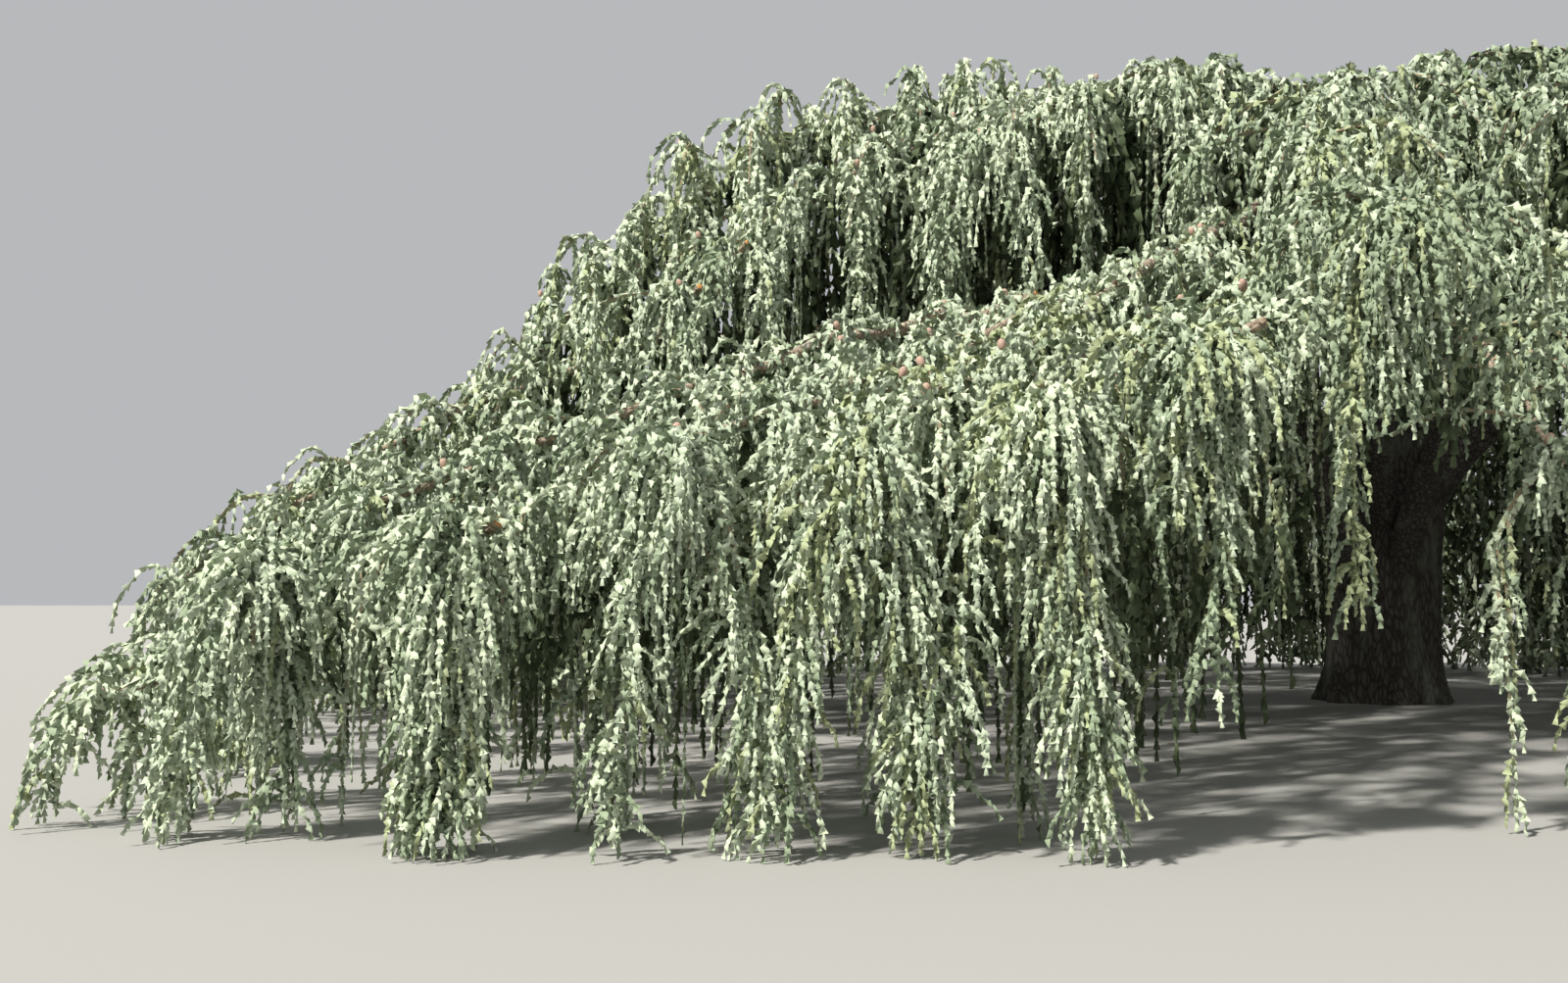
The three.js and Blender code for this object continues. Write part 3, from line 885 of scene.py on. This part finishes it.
def dressBough(foliage, stem, pick):
    rng = foliage.rng
    kind = stem["kind"]
    own = boughDress
    line = stem["line"]
    leafFrom = kind["leafFrom"]
    leafy = line[round((len(line) - 1) * lerp(leafFrom, 1, own["from"])):]
    for _ in range(growth["boughNeedles"]):
        foliage.dress(pick(), leafy + rng.normal(0, own["stray"], leafy.shape), own["size"])
    cover = int(stem["length"] / (growth["coverSpacing"] * kind["coverSpacing"]))
    for k in range(cover):
        start = pointOn(line, lerp(leafFrom, 1, (k + rng.random()) / cover))
        drop = min(lerp(*own["falls"], rng.random() ** 1.4), start[2] - stem["hem"])
        grows = drop > own["shortest"] and rng.random() < 1 / sparseAt(start)
        if grows and foliage.roof.shows(start):
            stand = lerp(*own["stands"], rng.random())
            foliage.hang(pick, start, stand, drop, "cover", own["sides"], own["spread"])
    inner = int(stem["length"] / (growth["innerSpacing"] * kind["innerSpacing"]))
    hem = max(stem["hem"], growth["raisedHem"] if stem["raised"] else 0)
    for k in range(inner):
        at = lerp(leafFrom, 1, (k + rng.random()) / inner)
        start = pointOn(line, at)
        if at > 0.5 and kind["low"] and not stem["raised"]:
            drop = (start[2] - hem) * lerp(*own["outerStrands"], rng.random())
        else:
            share = lerp(own["innerStrands"], kind["innerLength"], rng.random())
            drop = (min(stem["curtain"], start[2] - hem) - 0.5) * share
        stand = stem["room"] * lerp(*own["strandStands"], rng.random())
        places = tressPath(start, rng.random() * fullTurn, stand, max(drop, 0.1), 0.2, rng, 8)
        # painted shade: dark strands hang inside the mass where they don't show, to darken it
        if drop > own["shortestStrand"] and not foliage.roof.shows(places[4]):
            foliage.dress("shade", places, 1, shadeGrain(places[4]))


# what grows on a branch: pillars and threads that hang from it, and a dome over its end, where it bends down
branchDress = {
    "twig": (0.022, 0.009), "stray": 0.015, "size": 1.15,
    "hidden": 1.4,  # how much sparser it is where it doesn't show
    "outerFrom": 0.45, "outerOver": 0.3,  # where along a bough the pillars become fuller
    "upperOuter": 0.8,
    "bareShare": 0.15, "bareSides": 0.75,
    "sides": (0.85, 1.7), "spreads": (0.22, 0.42), "stands": (0.05, 0.3), "bottoms": (0.85, 1),
    "threads": 0.8,  # for each pillar
    "threadStands": (0.05, 0.3), "threadSize": 0.62,
    "domeFrom": 0.3, "domeStray": 1.3,
    "domeFalls": (0.15, 0.7), "domeRises": (0.1, 0.4), "domeStands": (0.15, 0.6),
}


def dressBranch(foliage, branch, pick):
    rng = foliage.rng
    own = branchDress
    places = branch["places"]
    stem = branch["stem"]
    kind = stem["kind"]
    shown = foliage.roof.shows(places[4])
    sparse = sparseAt(places[4]) * (1 if shown else own["hidden"])
    foliage.twigs.append((places, lerp(*own["twig"], np.linspace(0, 1, len(places)))))
    foliage.dress(pick(), places + rng.normal(0, own["stray"], places.shape), own["size"])
    outer = own["upperOuter"]
    if kind["low"]:
        outer = clamped((branch["at"] - own["outerFrom"]) / own["outerOver"])
    hung = max(1, round(branch["reach"] / (growth["pillarSpacing"] * sparse ** 0.5)))
    thin = lerp(1, stem["thin"], outer)
    for j in range(hung):
        top = pointOn(places, 1 - (j + 0.7 * rng.random()) / hung)
        drop = top[2] - lerp(top[2], branch["bottom"], lerp(*own["bottoms"], rng.random() ** 0.5))
        drop = max(growth["shortestCurtain"], drop)
        bare = rng.random() < own["bareShare"]
        sides = lerp(*own["sides"], outer) * (own["bareSides"] if bare else 1) * kind["sides"] * thin
        spread = lerp(*own["spreads"], rng.random()) * sparse ** 0.5 * kind["spread"]
        side = stem["side"]
        if stem["raised"] and rng.random() < growth["strings"]:
            drop = lerp(drop, top[2] - stem["hem"], rng.random())
            spread *= growth["stringSpread"]
            side = "alone"
        foliage.hang(pick, top, lerp(*own["stands"], rng.random()), drop, side, sides, spread, bare)
        for _ in range(rng.poisson(own["threads"] * shown / sparse)):
            aside = pointOn(places, rng.random())
            tone = pick()
            heading = rng.random() * fullTurn
            stand = lerp(*own["threadStands"], rng.random())
            fall = min(drop * lerp(0.4, 1, rng.random()), aside[2] - growth["lowest"])
            foliage.dress(tone, tressPath(aside, heading, stand, fall, 0.3, rng, 9), own["threadSize"])
    for _ in range(int(kind["domes"] * shown * thin / sparse)):
        root = pointOn(places, lerp(own["domeFrom"], 1, rng.random()))
        fall = min(lerp(*own["domeFalls"], rng.random()) * kind["domeFall"], root[2] - pillar["lowest"])
        heading = math.atan2(root[1], root[0]) + rng.normal(0, own["domeStray"])
        rise = lerp(*own["domeRises"], rng.random())
        tone = pick()
        stand = lerp(*own["domeStands"], rng.random())
        foliage.dress(tone, tressPath(root, heading, stand, fall, rise, rng, 8, 1.9))


# short tresses all round the leader, where the trunk ends among the highest boughs
leaderDress = {
    "tresses": 110,
    "from": 7.4, "above": 0.05,
    "stands": (0.25, 0.6), "falls": (0.5, 1.4),
}


def dressLeader(foliage, pick):
    rng = foliage.rng
    own = leaderDress
    for _ in range(own["tresses"]):
        height = lerp(own["from"], trunkShape["height"] + own["above"], rng.random() ** 0.6)
        start = np.array([leaning(height), 0, height])
        stand = lerp(*own["stands"], rng.random())
        foliage.hang(pick, start, stand, lerp(*own["falls"], rng.random()), "high", 1, 0.3)


# the long thin twig that hangs alone at the right edge of the opening, and a few strings down from it
dangling = {
    "bough": 9,
    "heading": 185, "reach": 0.55, "fall": 0.75,
    "twig": (0.02, 0.008),
    "needles": 2,  # lines of them
    "stray": 0.02,
    "strings": ((0.35, 0.7), (0.6, 0.4), (0.82, 1.1), (0.95, 0.75), (1.0, 1.75)),  # where, and how long
    "stand": 0.1, "sides": 0.3, "spread": 0.16,
}


def dressDangling(foliage, pick):
    rng = foliage.rng
    own = dangling
    start = stems[own["bough"]]["line"][-1]
    heading = math.radians(own["heading"])
    places = tressPath(start, heading, own["reach"], own["fall"], 0.05, rng, 12, 1.5)
    knots = places[::2]
    foliage.twigs.append((knots, lerp(*own["twig"], np.linspace(0, 1, len(knots)))))
    for _ in range(own["needles"]):
        foliage.dress(pick(), places + rng.normal(0, own["stray"], places.shape))
    for share, drop in own["strings"]:
        root = pointOn(places, share)
        foliage.hang(pick, root, own["stand"], drop, "alone", own["sides"], own["spread"], True)


def growFoliage():
    rng = np.random.default_rng(growth["seed"])
    roof = Roof()
    branches = growBranches(rng, roof)
    foliage = Foliage(rng, roof)
    names = [name for name in tones if tones[name]["share"]]
    weights = np.array([tones[name]["share"] for name in names])
    shadeWeight = np.array([tones[name]["shadeWeight"] for name in names])

    def chooser(mix):
        steps = np.cumsum(mix)
        return lambda: names[min(int(np.searchsorted(steps, rng.random() * steps[-1])), len(names) - 1)]

    for i, stem in enumerate(stems):
        # painted shade: the shaded boughs on the right get a darker mix of tones
        mix = rng.dirichlet(weights * growth["evenness"]) * (shadeWeight if i in growth["shadedBoughs"] else 1)
        stem["mix"] = mix / mix.sum()
        dressBough(foliage, stem, chooser(stem["mix"]))
    for branch in branches:
        mix = branch["stem"]["mix"]
        tone = names.index(chooser(mix)())
        dressBranch(foliage, branch, chooser(lerp(mix, np.eye(len(names))[tone], growth["ownTone"])))
    dressLeader(foliage, chooser(weights))
    dressDangling(foliage, chooser(weights))
    return foliage, branches


def addMesh(name, corners, faces):
    corners[:, 2] = np.maximum(corners[:, 2], 0.004)
    mesh = bpy.data.meshes.new(name)
    mesh.vertices.add(len(corners))
    mesh.vertices.foreach_set("co", corners.ravel())
    mesh.loops.add(len(faces))
    mesh.loops.foreach_set("vertex_index", faces)
    mesh.polygons.add(len(faces) // 3)
    mesh.polygons.foreach_set("loop_start", np.arange(0, len(faces), 3, dtype=np.int32))
    mesh.update(calc_edges=True)
    piece = bpy.data.objects.new(name, mesh)
    bpy.context.collection.objects.link(piece)
    print(name, len(faces) // 3)
    return piece


# at every knot of a tress a tuft of needles stands out from the twig: three faces under one point
tuft = {
    "turn": 2.4,  # radians from one tuft to the next, round the twig
    "stray": 0.4,
    "sizes": (0.7, 1.3), "widths": (0.7, 1.2),
    "points": (-0.1, 0.6),  # how far ahead its point stands
}


def meshTresses(name, chains, rng):
    knots, size, ends = chains[:, :3], chains[:, 3:4], chains[:, 4] == 0
    count = len(knots)
    ahead = np.roll(knots, -1, axis=0) - knots
    ahead[ends] = np.roll(ahead, 1, axis=0)[ends]
    axis = ahead / np.maximum(np.linalg.norm(ahead, axis=1, keepdims=True), 1e-6)
    side = np.cross(axis, (0.31, 0.92, 0.24))
    side /= np.linalg.norm(side, axis=1, keepdims=True)
    over = np.cross(axis, side)
    turn = np.arange(count)[:, None] * tuft["turn"] + rng.normal(0, tuft["stray"], (count, 1))
    out = np.cos(turn) * side + np.sin(turn) * over
    across = np.cos(turn) * over - np.sin(turn) * side
    size = size * lerp(*tuft["sizes"], rng.random((count, 1)))
    top = knots - ahead * 0.5 - out * size * 0.3
    point = knots + out * size * 1.1 + axis * size * rng.uniform(*tuft["points"], (count, 1))
    low = knots + ahead * 0.65 + axis * size * 0.3 - out * size * 0.2
    left = low + across * size * lerp(*tuft["widths"], rng.random((count, 1)))
    right = low - across * size * lerp(*tuft["widths"], rng.random((count, 1)))
    corners = np.stack([top, point, left, right], axis=1).reshape(-1, 3)
    first = np.arange(count, dtype=np.int32)[:, None] * 4
    piece = addMesh(name, corners, (first + np.array([0, 1, 2, 0, 3, 1, 1, 3, 2], dtype=np.int32)).ravel())
    piece.data.shade_smooth()
    return piece


twigBark = {"colour": (0.38, 0.3, 0.2), "other": (0.2, 0.16, 0.11), "mottling": 9, "roughness": 0.85}


# three-sided tapering twigs, all in one mesh
def meshTwigs(name, twigs):
    corners = []
    faces = []
    turn = np.array([0, 2.094, 4.189])
    for places, radii in twigs:
        first = len(corners) * 3
        along = places[-1] - places[0]
        along = along / np.linalg.norm(along)
        side = np.cross(along, (0.31, 0.95, 0.05))
        side /= np.linalg.norm(side)
        over = np.cross(side, along)
        ring = np.cos(turn)[:, None] * side + np.sin(turn)[:, None] * over
        for place, radius in zip(places, radii):
            corners.append(place + ring * radius)
        last = len(places) - 1
        for i in range(last):
            low = first + 3 * i
            for k in range(3):
                other = (k + 1) % 3
                faces.append((low + k, low + 3 + k, low + 3 + other, low + other))
        end = first + 3 * last
        faces.append((first, first + 1, first + 2))
        faces.append((end + 2, end + 1, end))
    mesh = bpy.data.meshes.new(name)
    mesh.from_pydata(np.concatenate(corners).tolist(), [], faces)
    mesh.update()
    piece = bpy.data.objects.new(name, mesh)
    bpy.context.collection.objects.link(piece)
    return piece


# barrel cones, modelled once and copied upright onto the branches
cones = {
    "share": 0.2,  # of the branches
    "second": 0.35,  # of those, with two
    "along": (0.1, 0.95), "above": 0.06, "stray": 0.02, "lean": 0.25,
    "sides": 8, "radius": 0.033, "length": 0.085,
    "rings": ((0.1, 0.72), (0.35, 1), (0.68, 0.96), (0.88, 0.72), (1, 0.28)),
    "colour": (0.58, 0.4, 0.32), "other": (0.4, 0.27, 0.21),
    "mottling": 60, "roughness": 0.7,
}


# a round shape of few sides, drawn up ring by ring: how high each is, and how wide
def modelRings(shape, foot=0.6):
    startFresh()
    radius = shape["radius"] * foot
    bpy.ops.mesh.primitive_circle_add(vertices=shape["sides"], radius=radius, fill_type="NGON")
    piece = bpy.context.object
    bpy.ops.object.mode_set(mode="EDIT")
    length = shape["length"]
    low, width = 0, foot
    for high, wide in shape["rings"]:
        bpy.ops.mesh.extrude_region_move(TRANSFORM_OT_translate={"value": (0, 0, (high - low) * length)})
        bpy.ops.transform.resize(value=(wide / width, wide / width, 1), center_override=(0, 0, high * length))
        low, width = high, wide
    bpy.ops.mesh.select_all(action="SELECT")
    bpy.ops.mesh.normals_make_consistent(inside=False)
    bpy.ops.mesh.quads_convert_to_tris()
    bpy.ops.object.mode_set(mode="OBJECT")
    mesh = piece.data
    corners = np.array([vertex.co[:] for vertex in mesh.vertices])
    faces = np.array([face.vertices[:] for face in mesh.polygons], dtype=np.int32)
    bpy.data.objects.remove(piece)
    return corners, faces


# copies of one shape at all places, each stood along its own direction, joined into one mesh
def copyTo(name, shape, places, directions):
    corners, faces = shape
    stood = []
    for place, direction in zip(places, directions):
        turned = np.array(Vector(direction).to_track_quat("Z", "Y").to_matrix())
        stood.append(corners @ turned.T + place)
    rows = np.arange(len(places), dtype=np.int32)[:, None, None] * len(corners)
    return addMesh(name, np.concatenate(stood), (faces[None] + rows).ravel())


def makeCones(branches):
    rng = np.random.default_rng(growth["seed"] + 2)
    places = []
    directions = []
    for branch in branches:
        if rng.random() < cones["share"]:
            for _ in range(1 + (rng.random() < cones["second"])):
                place = pointOn(branch["places"], lerp(*cones["along"], rng.random()))
                places.append(place + np.array([0, 0, cones["above"]]) + rng.normal(0, cones["stray"], 3))
                directions.append((rng.normal(0, cones["lean"]), rng.normal(0, cones["lean"]), 1))
    piece = copyTo("cones", modelRings(cones), places, directions)
    piece.data.materials.append(plainFinish("coneScales", cones))
    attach(piece, "root")
    print("cones made:", len(places))


# sawn stubs of old branches, turned towards the viewing place
stubs = {
    "sides": 12, "radius": 0.045, "length": 0.3,
    "rings": ((0.05, 1.25), (0.2, 1), (0.94, 0.86), (1, 0.84), (1, 0.3)),
    "lift": 0.4,
    "colour": (0.75, 0.36, 0.12), "other": (0.55, 0.25, 0.09),
    "mottling": 45, "roughness": 0.75,
    "cutFrom": 0.99,  # of the length
    # which bough, and how far along it
    "places": ((28, 0.98), (28, 0.93), (11, 0.93), (8, 0.68), (8, 0.6), (3, 0.9), (3, 0.98), (27, 0.74),
               (36, 0.4), (4, 0.3), (5, 0.4), (25, 0.75), (9, 0.5), (29, 0.86), (14, 0.8), (20, 0.7),
               (23, 0.6), (31, 0.8)),
}


def makeStubs():
    places = []
    directions = []
    for bough, share in stubs["places"]:
        path = stems[bough]["path"]
        place = path(share)
        ahead = path(share + 0.01) - path(share - 0.01)
        across = np.array([-ahead[1], ahead[0], 0])
        across /= np.linalg.norm(across)
        towards = np.sign(np.dot(across, np.array(view["place"]) - place))
        places.append(place)
        directions.append(across * towards + np.array([0, 0, stubs["lift"]]))
    shape = modelRings(stubs)
    piece = copyTo("stubs", shape, places, directions)
    piece.data.materials.append(boughFinish)
    piece.data.materials.append(plainFinish("cutWood", stubs))
    corners, faces = shape
    ends = corners[faces][:, :, 2].min(axis=1) > stubs["cutFrom"] * stubs["length"]
    piece.data.polygons.foreach_set("material_index", np.tile(ends, len(places)).astype(np.int32))
    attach(piece, "root")
    print("stubs made:", len(places))


def makeFoliage():
    foliage, branches = growFoliage()
    makeCones(branches)
    makeStubs()
    twigs = meshTwigs("twigs", foliage.twigs)
    twigs.data.materials.append(plainFinish("twigBark", twigBark))
    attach(twigs, "root")
    print("twigs", len(twigs.data.polygons) * 2)

    rng = np.random.default_rng(growth["seed"] + 1)
    massNames = [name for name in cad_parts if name.startswith("foliage")]
    total = 0
    for tone, chains in foliage.chains.items():
        finish = plainFinish(f"needles_{tone}", {**growth["needles"], **tones[tone]})
        groups = np.cumsum([len(chain) for chain in chains]) * 3 // growth["mostFaces"]
        for i in range(groups[-1] + 1):
            some = [chain for chain, group in zip(chains, groups) if group == i]
            piece = meshTresses(f"needles_{tone}_{i + 1}", np.concatenate(some), rng)
            piece.data.materials.append(finish)
            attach(piece, "root")
            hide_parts(*massNames)
            total += len(piece.data.polygons)
    print("foliage made:", total, "faces on", round(foliage.metres), "m of tress")


makeFoliage()
